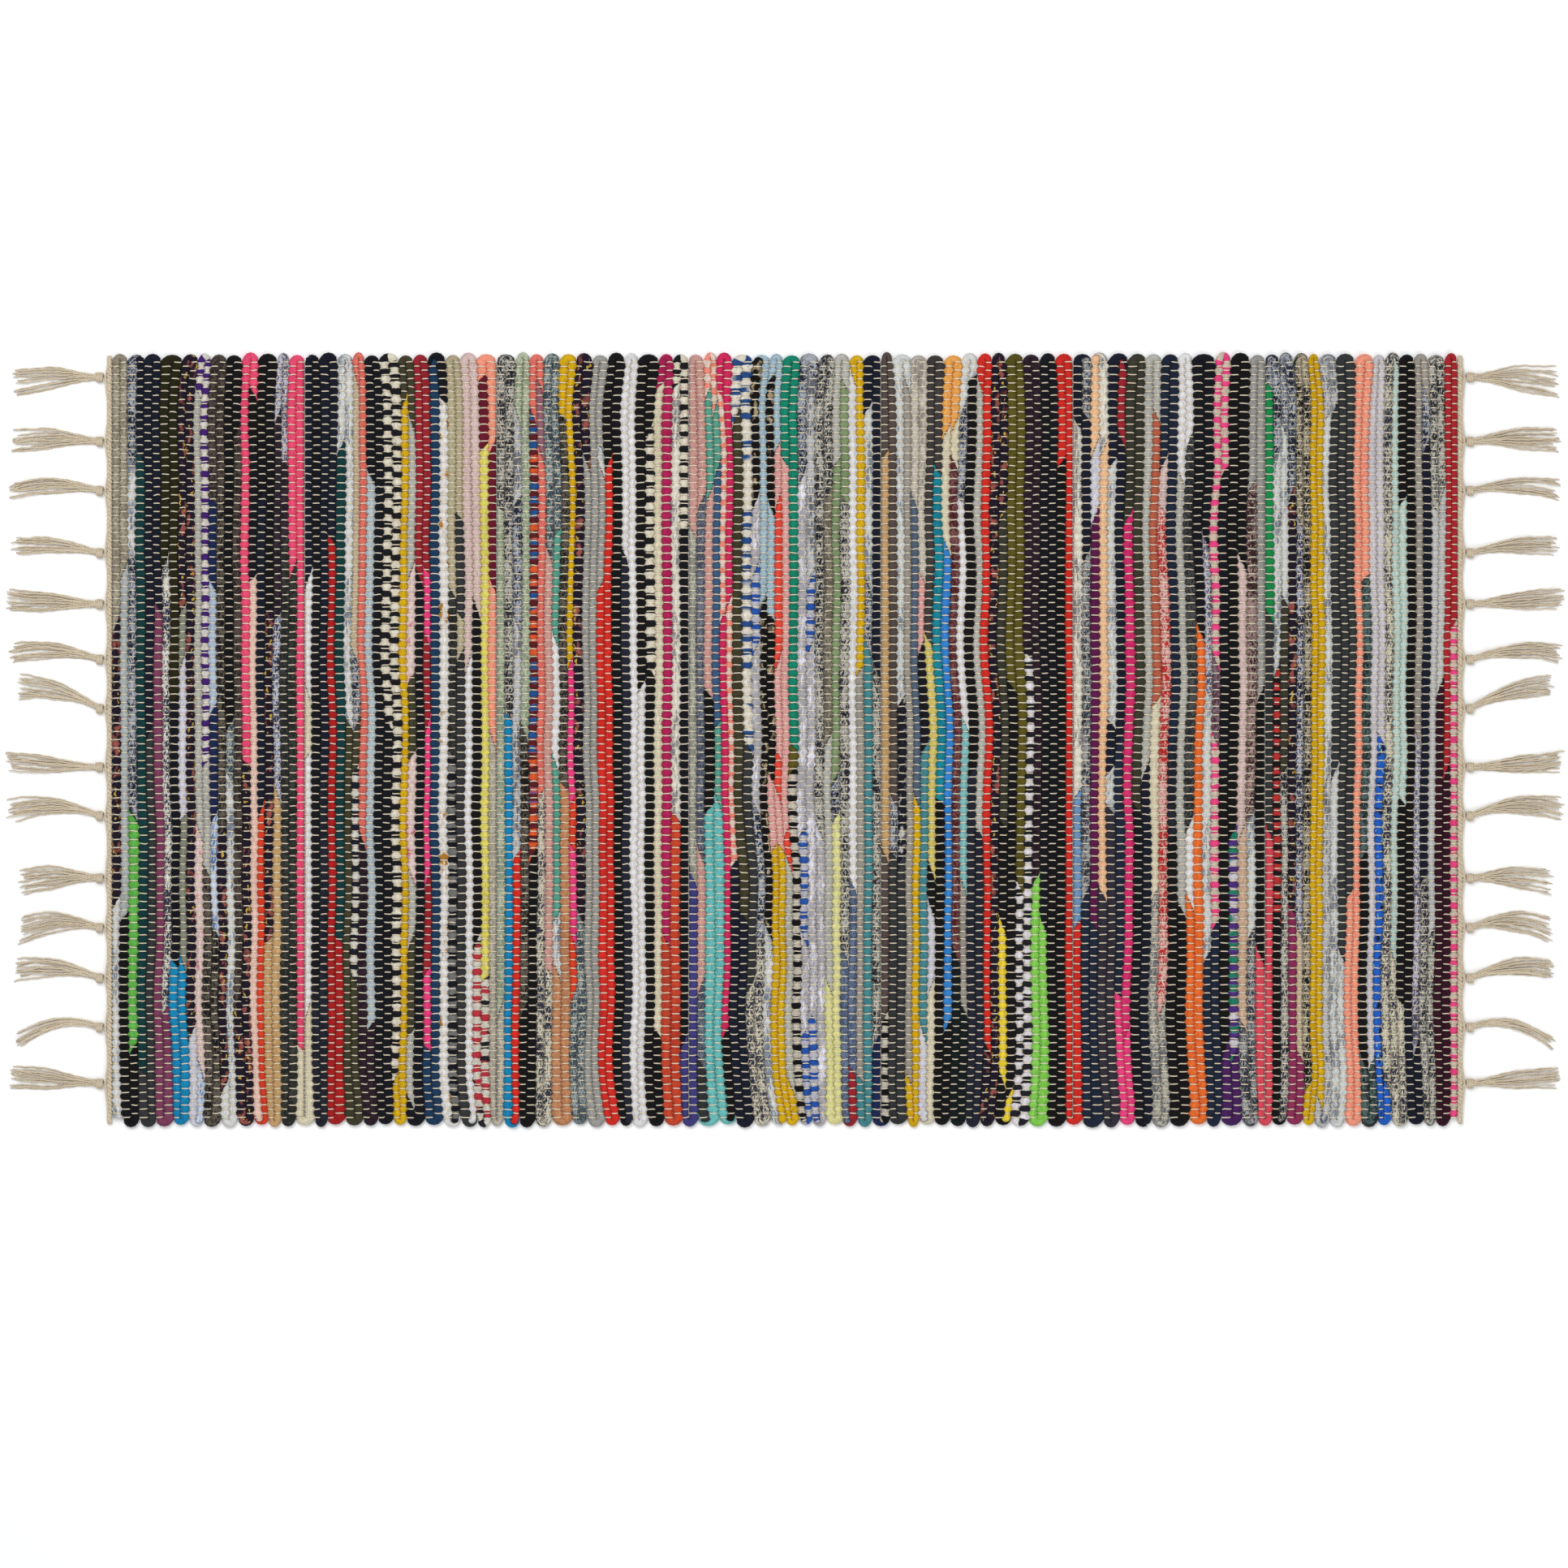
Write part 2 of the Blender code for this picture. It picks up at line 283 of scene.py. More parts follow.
# The swatch book: finish, thickness beside the others, then each dye's red, green and blue out of 255.
SWATCHES = """
apricot plain 1.05, 250 176 88, 236 160 80
aqua plain 1.15, 120 208 204, 96 186 188
aubergine fleck 1.0, 74 46 66, 46 26 44
beige plain 0.8, 216 196 164, 190 168 136
black plain 1.1, 34 32 36, 22 22 26
black_print print 0.85, 34 28 30, 196 176 140, 70 56 50
black_tweed fleck 1.0, 40 36 38, 126 116 102
black_zebra bars 1.0, 34 30 34, 214 206 190
black_zigzag fleck 1.0, 34 30 38, 196 184 156
blue_heather fleck 0.95, 124 142 172, 92 106 138
brick plain 1.2, 218 76 48, 186 56 38
bright_blue plain 1.0, 60 146 226, 42 120 204
bright_crimson plain 0.8, 200 42 52, 168 30 42
bright_red plain 0.95, 232 48 38, 200 34 30
brown_heather fleck 1.0, 112 98 90, 62 52 50
brown_pink fleck 1.15, 78 50 52, 186 156 148
burgundy fleck 1.0, 104 34 44, 150 96 96
bw_tweed fleck 1.05, 206 202 190, 52 52 66
camel plain 1.1, 218 178 124, 196 152 100
charcoal plain 1.05, 76 78 80, 52 54 58
charcoal_stripe fleck 1.1, 104 106 104, 54 56 58
charcoal_teal fleck 1.0, 52 60 64, 104 132 130
coral_pink plain 1.05, 250 84 124, 226 62 104
coral_red plain 0.85, 244 78 60, 222 60 48
coral_rose plain 1.1, 236 80 98, 212 60 80
coral_white bars 0.7, 246 222 206, 252 150 130
cream plain 1.0, 236 226 196, 214 200 164
cream_bars bars 1.1, 42 40 48, 238 230 208
cream_boucle fluff 1.1, 236 230 214, 150 148 150
cream_grey fluff 1.0, 214 206 190, 168 160 150
cream_heather fleck 0.95, 204 202 186, 164 162 150
cream_tweed fleck 1.05, 226 218 194, 66 68 92
crimson plain 0.95, 184 42 56, 150 30 44
cyan plain 1.1, 24 152 204, 12 124 178
cyan_teal plain 1.1, 26 156 176, 10 128 150
dark_maroon plain 1.0, 78 24 48, 52 14 34
dark_olive plain 1.15, 60 58 26, 44 42 18
dark_red plain 1.0, 196 34 36, 160 24 28
deep_teal plain 1.15, 22 84 86, 12 60 64
denim_blue plain 0.8, 72 112 156, 52 88 130
denim_sky plain 0.95, 124 164 208, 98 136 182
denim_stripe fleck 0.95, 140 146 162, 92 96 116
denim_white fluff 0.95, 210 220 236, 96 126 178
drab_olive plain 0.9, 92 88 62, 66 62 44
dusty_orange plain 1.15, 212 148 104, 186 122 86
dusty_pink plain 1.0, 222 168 158, 202 146 138
emerald plain 1.0, 20 160 128, 8 130 104
grass plain 1.1, 28 168 92, 16 138 72
green plain 1.3, 112 202 88, 84 172 66
green_black plain 1.05, 28 46 48, 18 32 36
grey plain 0.9, 182 180 174, 158 156 152
grey_boucle fluff 1.0, 204 204 204, 120 122 132
grey_cream fleck 1.0, 206 200 184, 134 136 140
grey_sage plain 0.95, 162 164 146, 140 142 126
grey_taupe plain 0.9, 184 176 164, 158 150 140
grey_tweed fleck 1.0, 186 186 186, 66 70 84
hot_pink plain 0.85, 250 70 136, 226 46 112
indigo plain 1.05, 82 78 156, 60 58 128
jade plain 0.85, 104 182 160, 80 156 138
khaki plain 0.9, 206 194 158, 182 168 134
khaki_heather fleck 0.95, 172 162 140, 126 118 102
lemon plain 1.0, 240 228 112, 222 206 88
light_blue plain 0.85, 180 206 218, 156 184 200
light_grey plain 0.95, 204 202 192, 178 176 168
light_taupe plain 1.0, 184 176 166, 160 152 144
lilac_grey fluff 1.05, 186 182 186, 238 236 246
lilac_heather fleck 0.85, 216 214 226, 104 98 122
lilac_white plain 1.0, 226 224 234, 198 196 208
lime plain 1.05, 146 226 92, 122 204 70
magenta plain 1.1, 200 36 98, 170 22 78
magenta_pink plain 1.1, 226 42 112, 246 88 146
maroon plain 1.0, 134 28 52, 106 18 40
mauve plain 1.05, 152 76 112, 128 58 94
mid_teal plain 1.0, 84 158 166, 62 134 142
mint plain 0.95, 206 228 218, 182 206 198
moss_heather fleck 1.0, 84 86 80, 52 54 52
multi_bars bars 1.0, 120 38 44, 236 96 48, 40 96 168
mustard plain 0.85, 232 186 20, 210 160 12
navy plain 1.0, 36 42 66, 24 28 48
navy_bars bars 1.0, 40 44 64, 230 226 214
navy_black plain 1.05, 34 36 48, 22 24 36
navy_denim plain 1.0, 42 56 84, 30 40 62
navy_grey_bars bars 1.1, 36 38 50, 142 142 138
navy_heather fleck 1.0, 52 56 76, 36 38 56
navy_print print 1.0, 44 44 60, 206 204 196, 120 150 190
navy_tweed fleck 1.05, 48 54 76, 188 192 200
navy_zigzag fleck 1.0, 44 46 72, 200 202 216
neon_coral plain 1.0, 255 164 136, 255 140 118
old_mauve plain 0.9, 172 118 130, 148 98 110
olive plain 1.1, 120 110 36, 96 88 26
olive_drab plain 1.15, 90 84 58, 68 64 44
olive_grey plain 1.1, 84 82 66, 64 62 50
orange plain 1.05, 248 118 50, 226 96 38
orange_red plain 0.8, 240 72 40, 216 54 30
pale_aqua plain 1.0, 150 212 212, 126 190 192
pale_beige fleck 0.95, 214 206 188, 184 174 156
pale_blue plain 0.95, 198 212 230, 174 188 208
pale_blue_grey plain 1.05, 198 212 218, 176 188 194
pale_boucle fluff 1.0, 220 222 218, 142 148 158
pale_grey plain 1.0, 216 216 214, 190 190 190
pale_grey_blue plain 1.0, 196 202 200, 170 176 176
pale_lemon plain 1.0, 238 234 162, 220 214 138
pale_lilac plain 1.0, 224 218 222, 198 192 198
pale_rose plain 1.05, 232 204 198, 210 180 176
pale_rose_print print 1.05, 240 214 208, 228 132 148, 216 192 190
peach plain 1.0, 252 202 156, 238 180 134
peach_pink plain 0.9, 248 210 194, 232 188 174
petrol plain 1.05, 36 76 118, 24 56 92
pink_bars bars 0.95, 250 76 140, 224 206 186
plum plain 1.0, 124 32 98, 98 20 78
plum_brown fleck 0.95, 112 66 84, 160 132 142
plum_pink plain 1.05, 168 56 104, 140 40 84
purple plain 1.0, 94 42 120, 70 28 94
purple_bars bars 0.95, 232 226 216, 84 40 140
purple_black fleck 0.9, 48 38 54, 82 58 80
purple_print print 1.05, 50 38 62, 178 96 86, 214 178 72
red_check bars 1.0, 206 54 52, 48 32 40
red_tweed fleck 1.15, 206 44 44, 236 190 180
red_zebra bars 1.0, 226 220 206, 50 48 60, 206 56 70
rose plain 0.85, 240 176 170, 222 152 150
rose_red plain 0.8, 226 44 100, 198 30 80
royal_bars print 1.0, 40 106 214, 42 42 62, 150 206 210
royal_lilac bars 1.0, 206 204 214, 44 96 190
royal_navy plain 1.0, 36 52 106, 26 38 82
sage plain 0.9, 154 176 128, 130 152 106
sage_heather fleck 1.05, 204 212 184, 162 176 146
salmon plain 0.9, 240 122 108, 220 98 88
sand plain 1.1, 224 190 162, 202 166 138
sea_tweed fleck 1.0, 78 92 106, 176 188 184
sky_blue plain 1.0, 20 150 206, 10 124 182
slate_blue plain 0.9, 104 122 146, 82 98 122
slate_navy plain 1.0, 52 56 76, 36 40 58
slate_purple plain 1.05, 74 68 84, 54 50 66
soft_lemon plain 1.0, 232 214 118, 212 192 96
sport_bars bars 1.1, 96 56 150, 226 220 226, 40 150 118
tan_heather fleck 0.95, 196 186 164, 164 152 132
taupe plain 1.0, 114 98 92, 92 78 74
taupe_dark plain 1.0, 92 86 84, 68 64 64
terracotta plain 0.9, 206 106 78, 182 84 62
white plain 0.95, 244 242 242, 220 216 216
white_bars bars 1.0, 48 48 60, 240 234 236
white_blue bars 1.15, 240 232 216, 240 232 216, 48 92 158
white_boucle fluff 1.0, 226 226 222, 136 146 160
white_navy fleck 0.95, 206 208 224, 64 66 96
white_ochre print 1.15, 244 240 236, 204 142 52, 226 214 204
white_twist fleck 1.0, 240 236 226, 74 74 96
yellow plain 1.0, 252 222 62, 236 196 40
"""
CLOTHS = {}
for line in SWATCHES.strip().splitlines():
    label, *swatches = line.split(",")
    name, finish, thickness = label.split()
    dyes = [[int(level) for level in swatch.split()] for swatch in swatches]
    CLOTHS[name] = (finish, float(thickness), *dyes)

# The weaver's ticket. Each line is one lap of the shuttle: up across the rug, a turn at the far edge
# and back again. A number is how far the cloth before it lasts, in hundredths of the rug's width.
TICKET = """
white_boucle 29 purple_print 65 tan_heather 128 pale_grey_blue 173 black 200
black 10 green 40 navy_tweed 74 white_boucle 86 navy_tweed 100 navy 113 deep_teal 193 charcoal 200
charcoal 51 navy 133 mauve 200
mauve 15 white_twist 73 dark_olive 145 navy_black 179 cyan 200
cyan 21 grey_sage 40 lilac_white 60 grey_sage 67 purple_print 188 lilac_white 200
denim_white 7 pale_rose_print 38 light_grey 95 purple_bars 153 light_grey 167 black_tweed 200
black_tweed 25 denim_white 40 royal_navy 54 pale_blue 70 royal_navy 81 brown_heather 117 \
  black_tweed 162 purple_print 195 white_boucle 200
white_boucle 45 sea_tweed 52 black 110 brown_heather 184 purple_print 200
purple_print 47 coral_pink 105 black 112 navy_black 129 peach_pink 200
orange_red 41 navy 82 black 133 purple_print 176 camel 200
camel 43 white_navy 66 purple_black 92 lilac_heather 114 purple_black 124 moss_heather 200
moss_heather 72 coral_pink 190 cream 200
cream 15 white 48 cream 56 white 71 navy 100 navy_black 182 navy_heather 200
navy_heather 45 navy 124 dark_red 200
dark_red 24 deep_teal 88 white_boucle 148 drab_olive 200
drab_olive 19 navy_bars 46 drab_olive 52 navy_tweed 61 beige 97 salmon 163 aubergine 200
aubergine 13 pale_blue_grey 84 navy_black 200
navy_black 52 cream_bars 194 mustard 200
mustard 94 drab_olive 109 light_grey 128 pale_rose_print 142 drab_olive 152 pale_rose_print 168 \
  light_grey 176 drab_olive 188 light_grey 197 navy_black 200
navy_black 71 crimson 128 hot_pink 137 crimson 148 hot_pink 168 crimson 180 hot_pink 190 petrol 200
petrol 99 navy_black 106 white_ochre 200
navy_grey_bars 48 moss_heather 69 khaki 121 charcoal 134 khaki 139 charcoal 200
white 60 pale_rose 133 black 176 red_zebra 200
red_zebra 19 lemon 88 maroon 97 neon_coral 112 maroon 130 neon_coral 150 pale_beige 200
pale_beige 15 sage_heather 80 bw_tweed 147 sky_blue 200
bright_red 35 grey_boucle 65 navy_tweed 81 grey_boucle 92 sage_heather 149 black_tweed 185 black 200
black 35 multi_bars 92 salmon 104 old_mauve 113 salmon 157 cream_tweed 200
cream_tweed 20 dusty_pink 74 sea_tweed 123 jade 137 white 153 jade 173 white_boucle 180 dusty_orange 200
dusty_orange 44 black_tweed 92 mustard 140 hot_pink 158 orange_red 164 hot_pink 176 \
  orange_red 183 sea_tweed 200
sea_tweed 27 purple_print 114 grey 200
grey 112 white_boucle 115 grey 130 bright_red 200
bright_red 86 black 200
slate_navy 74 white 200
white 57 black 110 cream_bars 141 black 200
black 12 cream 96 magenta 176 brick 200
brick 40 cream_boucle 96 cream_bars 123 navy_black 189 indigo 200
indigo 32 cream_heather 77 dusty_pink 119 denim_stripe 165 dusty_pink 182 denim_stripe 192 charcoal 200
aqua 41 black 56 dusty_pink 82 jade 95 coral_white 107 jade 115 denim_blue 148 jade 158 aqua 200
black 12 rose_red 66 coral_white 95 rose_red 132 coral_white 166 navy 200
navy 27 olive_drab 92 white_blue 151 charcoal 182 cream_tweed 200
cream_tweed 24 navy_tweed 41 lilac_grey 62 royal_lilac 72 lilac_grey 81 black_print 100 \
  light_blue 132 black_print 175 white_boucle 200
mustard 36 rose 45 black_print 66 light_blue 80 black_print 97 light_blue 112 rose 119 \
  coral_red 140 rose 152 coral_red 157 rose 164 mustard 200
mustard 5 light_grey 34 coral_red 38 rose 86 emerald 151 olive 154 black_zebra 200
royal_lilac 12 lilac_grey 24 royal_lilac 38 lilac_grey 84 navy_tweed 103 grey_boucle 129 \
  royal_lilac 138 lilac_grey 186 royal_lilac 200
lilac_grey 38 bw_tweed 118 khaki_heather 150 light_grey 182 pale_lemon 200
pale_lemon 40 navy_tweed 45 sage 86 light_grey 104 sage 119 bw_tweed 178 blue_heather 200
crimson 7 blue_heather 31 white 97 mustard 141 grey_taupe 194 mid_teal 200
mid_teal 62 navy_tweed 70 pale_boucle 93 navy 141 bw_tweed 189 royal_navy 200
black_zebra 14 taupe 35 camel 87 taupe 158 navy_tweed 165 charcoal 200
charcoal 34 navy_print 55 pale_boucle 104 grey_taupe 194 mustard 200
mustard 42 slate_blue 81 cream_grey 129 rose 138 navy_black 151 mid_teal 188 lilac_white 200
cream 18 lilac_white 28 black 33 soft_lemon 63 taupe_dark 115 cyan_teal 158 black 200
black 13 bright_blue 75 cream 90 apricot 109 cream 114 burgundy 178 green_black 200
green_black 15 grey_taupe 31 pale_aqua 52 white 81 navy_tweed 93 white_boucle 103 black 154 \
  slate_navy 200
slate_navy 38 light_grey 96 bright_red 190 purple_print 200
purple_print 121 olive_grey 161 black 174 yellow 194 black 200
yellow 4 black 57 olive 169 white_bars 200
white_bars 61 aubergine 168 lime 200
lime 26 navy_black 160 black 200
black 86 bright_red 200
bright_red 26 denim_sky 43 cream_boucle 91 navy 100 grey_tweed 108 navy 126 grey_tweed 170 \
  navy_denim 200
navy_denim 26 plum 79 lilac_white 88 peach 100 cream_boucle 112 peach 170 slate_purple 200
slate_purple 41 pale_boucle 46 navy 52 pale_boucle 86 navy 101 crimson 111 navy 150 \
  navy_denim 183 hot_pink 200
hot_pink 12 magenta_pink 79 olive_grey 159 navy_black 200
navy 46 light_grey 108 terracotta 145 cream 170 grey_cream 200
grey_cream 15 red_tweed 80 pale_rose 86 navy_denim 151 navy_heather 163 black 200
black 28 light_grey 84 white 111 charcoal_stripe 161 white 171 orange 200
orange 64 navy_black 124 lilac_heather 144 pale_boucle 178 navy_denim 200
navy_denim 26 pink_bars 50 plum_brown 60 pink_bars 115 navy_black 155 black 190 purple 200
purple 9 sport_bars 38 black 127 pale_rose 162 sand 187 grey_tweed 200
grey_tweed 25 pale_boucle 40 brown_pink 83 grey 144 black 178 coral_rose 200
coral_rose 38 charcoal 66 grass 96 navy_tweed 113 pale_boucle 141 red_check 173 black 200
bw_tweed 46 olive_grey 68 pale_boucle 90 navy_tweed 118 purple_print 172 plum_pink 200
plum_pink 9 beige 25 navy_zigzag 78 black_zigzag 195 mustard 200
mustard 197 grey_boucle 200
grey_boucle 45 pale_boucle 92 grey_boucle 107 charcoal 154 pale_boucle 200
pale_boucle 22 charcoal 170 neon_coral 200
neon_coral 129 charcoal_teal 165 black 192 charcoal_teal 200
charcoal_teal 8 pale_lilac 150 royal_bars 200
royal_bars 5 cream_tweed 101 mint 178 cream_tweed 200
cream_tweed 16 black 42 mint 81 black 185 navy 200
navy 10 lilac_heather 50 light_taupe 105 navy_tweed 112 navy 168 bw_tweed 200
bw_tweed 25 pale_grey 80 bw_tweed 118 pale_grey 143 dark_maroon 200
dark_maroon 46 bright_crimson 135 pink_bars 200
"""


def dye(levels):
    """A dye's red, green and blue as the light it gives back."""
    return [((c / 255 + 0.055) / 1.055) ** 2.4 if c > 10 else c / 255 / 12.92 for c in levels]


def packed(colour):
    """Cloth beaten this close swallows light, and a dark dye loses more of it than a bright one."""
    return [c * max(colour) ** 0.26 for c in colour]


laps = []
for line in TICKET.strip().splitlines():
    words = line.split()
    laps.append([(words[i], float(words[i + 1])) for i in range(0, len(words), 2)])


# The weft. A rag strip goes to and fro across the warps and turns at each selvedge in a loop. It swells
# between two warps and is nipped where a warp crosses over it, half a step apart from its neighbour.
BANDS = 21
PICKS_IN_PANELS = (24, 24, 24, 24, 24, 22, 26)
PICKS = sum(PICKS_IN_PANELS)
WARPS = 183
ROUND = 10
weave_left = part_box("woven_band_01")[0].x
weave_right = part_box("woven_band_21")[1].x
hinges = sorted(j["pos_m"][0] for j in frame["joints"] if j["name"].startswith("bend"))
panel_edges = np.array([weave_left, *hinges, weave_right])
mid_height = (cad_low.z + cad_high.z) / 2
half_rug = cad_high.y
first_picks = np.cumsum([0, *PICKS_IN_PANELS])
WARP_EDGE = 0.2905
WARP_STEP = 2 * WARP_EDGE / (WARPS - 1)
ROWS = 2 * WARPS - 1
rows = np.linspace(-WARP_EDGE, WARP_EDGE, ROWS)
rng = np.random.default_rng(24)


def smooth(values, reach):
    """A running average along the last axis."""
    kernel = np.hanning(2 * reach + 3)[1:-1]
    kernel /= kernel.sum()
    padded = np.pad(values, [(0, 0)] * (values.ndim - 1) + [(reach, reach)], mode="edge")
    return np.apply_along_axis(lambda line: np.convolve(line, kernel, "valid"), -1, padded)


# Where each cloth lies on each pick decides how wide the pick is there.
thick = np.ones((PICKS, ROWS))
across = (rows + WARP_EDGE) / (2 * WARP_EDGE)
for lap, parts in enumerate(laps):
    marks = np.array([mark for _, mark in parts])
    weights = np.array([CLOTHS[name][1] for name, _ in parts])
    there = np.minimum(np.searchsorted(marks, 100 * across), len(marks) - 1)
    back = np.minimum(np.searchsorted(marks, 200 - 100 * across), len(marks) - 1)
    thick[2 * lap] = weights[there]
    thick[2 * lap + 1] = weights[back]
wander = smooth(rng.normal(size=(PICKS, ROWS)), 34) * 2.0
thick = smooth(thick, 14) * np.exp(np.clip(0.16 * wander, -0.3, 0.3))
widths = np.zeros_like(thick)
for panel in range(len(panel_edges) - 1):
    own = slice(first_picks[panel], first_picks[panel + 1])
    length = panel_edges[panel + 1] - panel_edges[panel]
    widths[own] = thick[own] / thick[own].sum(axis=0) * length
edges = weave_left + np.cumsum(widths, axis=0)
centres = edges - widths / 2

# The shuttle's whole path, one sample for each half step between warps, with five more at each turn.
# A mark tells how far along the ticket a sample is: a lap has 200, and each pick takes 100 of them.
TURN_SAMPLES = 5
TURN_UNEVEN = (-0.0016, 0.0011)
TURN_SQUARENESS = 0.7
turn_angles = np.linspace(0, math.pi, TURN_SAMPLES + 2)[1:-1]
path = {key: [] for key in ("x", "y", "half", "heading", "swell", "pick", "mark")}
for pick in range(PICKS):
    up = pick % 2 == 0
    order = slice(None) if up else slice(None, None, -1)
    row_numbers = np.arange(ROWS)[order]
    path["x"].append(centres[pick][order])
    path["y"].append(rows[order])
    path["half"].append(widths[pick][order] / 2)
    path["heading"].append(np.full(ROWS, math.pi / 2 if up else -math.pi / 2))
    path["swell"].append(np.cos(math.pi / 2 * row_numbers + math.pi * pick))
    path["pick"].append(np.full(ROWS, pick))
    start_mark = 200.0 * (pick // 2) + (0.0 if up else 100.0)
    path["mark"].append(start_mark + np.linspace(1.0, 99.0, ROWS))
    if pick == PICKS - 1:
        break
    end_row = -1 if up else 0
    left_x = centres[pick][end_row]
    right_x = centres[pick + 1][end_row]
    radius = (right_x - left_x) / 2
    side = 1 if up else -1
    half = (widths[pick][end_row] + widths[pick + 1][end_row]) / 4
    bulge = half_rug - WARP_EDGE - half * 0.9 + rng.uniform(*TURN_UNEVEN)
    path["x"].append((left_x + right_x) / 2 - radius * np.cos(turn_angles))
    path["y"].append(side * (WARP_EDGE + bulge * np.sin(turn_angles) ** TURN_SQUARENESS))
    path["half"].append(np.full(TURN_SAMPLES, half * 0.95))
    path["heading"].append(side * (math.pi / 2 - turn_angles))
    path["swell"].append(np.zeros(TURN_SAMPLES))
    path["pick"].append(np.where(turn_angles <= math.pi / 2 + 1e-6, pick, pick + 1))
    path["mark"].append(200.0 * (pick // 2) + (100.0 if up else 200.0) + np.linspace(-0.9, 0.9, TURN_SAMPLES))
path = {key: np.concatenate(values) for key, values in path.items()}

# The strips, end to end. Two laps that meet in the same cloth are one strip.
strips = []
for lap, parts in enumerate(laps):
    mark = 200.0 * lap
    for name, end in parts:
        if strips and strips[-1][0] == name:
            strips[-1][2] = 200.0 * lap + end
        else:
            strips.append([name, mark, 200.0 * lap + end])
        mark = 200.0 * lap + end
# At a join both strips taper over this many hundredths, each on its own side of the pick.
overlaps = 0.6 + 1.5 * rng.random(len(strips) + 1)
sides = np.where(rng.random(len(strips) + 1) < 0.5, -1.0, 1.0)
shifts = rng.random((len(strips), 3)) * 8.0


def eased(values):
    """A smooth step from 0 to 1."""
    values = np.clip(values, 0.0, 1.0)
    return values * values * (3 - 2 * values)


theta = 2 * np.pi * (np.arange(ROUND) + 0.5) / ROUND
round_x = np.cos(theta)
round_z = np.sin(theta)
# Half a pick's height, then how much it is nipped, swells and rides up between the warps.
HALF_HEIGHT = 0.0029
NIP = 0.24
SCALLOP = 0.24
LIFT = 0.0004
# A pick beside a bend keeps behind a slope of half the bend's 45 degrees, so that two panels can turn.
BEND_SLOPE = math.tan(math.radians(22.5))
BEND_GAP = 0.0001
NO_BEND = 9.0  # far past either end of the rug
bend_low = np.repeat([-NO_BEND, *hinges], PICKS_IN_PANELS)
bend_high = np.repeat([*hinges, NO_BEND], PICKS_IN_PANELS)


def strip_rings(number):
    """The rings of one strip: their places, and the samples of the path that they stand on."""
    _, begin, end = strips[number]
    lead, trail = overlaps[number], overlaps[number + 1]
    if number == 0:
        lead = 0.0
    if number == len(strips) - 1:
        trail = 0.0
    low = np.searchsorted(path["mark"], begin - lead)
    high = np.searchsorted(path["mark"], end + trail)
    own = np.arange(low, high)
    mark = path["mark"][own]
    grown = eased((mark - begin + lead) / (2 * lead)) if lead else np.ones(len(own))
    kept = 1 - eased((mark - end + trail) / (2 * trail)) if trail else np.ones(len(own))
    left = np.full(len(own), -1.0)
    right = np.full(len(own), 1.0)
    if sides[number] > 0:
        right = np.minimum(right, -1 + 2 * grown)
    else:
        left = np.maximum(left, 1 - 2 * grown)
    if sides[number + 1] > 0:
        left = np.maximum(left, 1 - 2 * kept)
    else:
        right = np.minimum(right, -1 + 2 * kept)
    return own, left, np.maximum(right, left + 0.03)


def ring_points(own, left, right):
    """Each ring's points. A ring fills its pick from left to right and swells or is nipped by the warps."""
    heading = path["heading"][own]
    lateral = np.stack([np.sin(heading), -np.cos(heading), np.zeros(len(own))], axis=1)
    half = path["half"][own] * 1.03
    part = (right - left) / 2
    offset = (right + left) / 2 * half
    reach = half * part * (1 + SCALLOP * path["swell"][own])
    height = HALF_HEIGHT * (0.45 + 0.55 * np.sqrt(part))
    swell = path["swell"][own]
    centre = np.stack([path["x"][own], path["y"][own], np.full(len(own), mid_height)], axis=1)
    centre[:, 2] += LIFT * swell
    across_ring = offset[:, None] + reach[:, None] * round_x * (1 + NIP * swell[:, None] * round_z)
    points = centre[:, None, :] + across_ring[:, :, None] * lateral[:, None, :]
    points[:, :, 2] += height[:, None] * round_z * (1 + 0.10 * swell[:, None] * np.sign(round_z))
    slack = BEND_SLOPE * np.abs(points[:, :, 2] - mid_height) + BEND_GAP
    lowest = bend_low[path["pick"][own]][:, None] + slack
    highest = bend_high[path["pick"][own]][:, None] - slack
    turning = np.abs(path["y"][own]) > WARP_EDGE + 1e-6
    inside = np.clip(points[:, :, 0], lowest, highest)
    points[:, :, 0] = np.where(turning[:, None], points[:, :, 0], inside)
    return points


band_of_pick = np.concatenate(
    [3 * panel + 3 * np.arange(count) // count for panel, count in enumerate(PICKS_IN_PANELS)]
)
piece_of_sample = band_of_pick[path["pick"]].astype(int)
for hinge in range(1, len(panel_edges) - 1):
    last = first_picks[hinge] - 1
    edge = (path["pick"] == last) | (path["pick"] == last + 1)
    turning = edge & (path["y"] < -WARP_EDGE - 1e-6)
    piece_of_sample[turning] = BANDS + hinge - 1

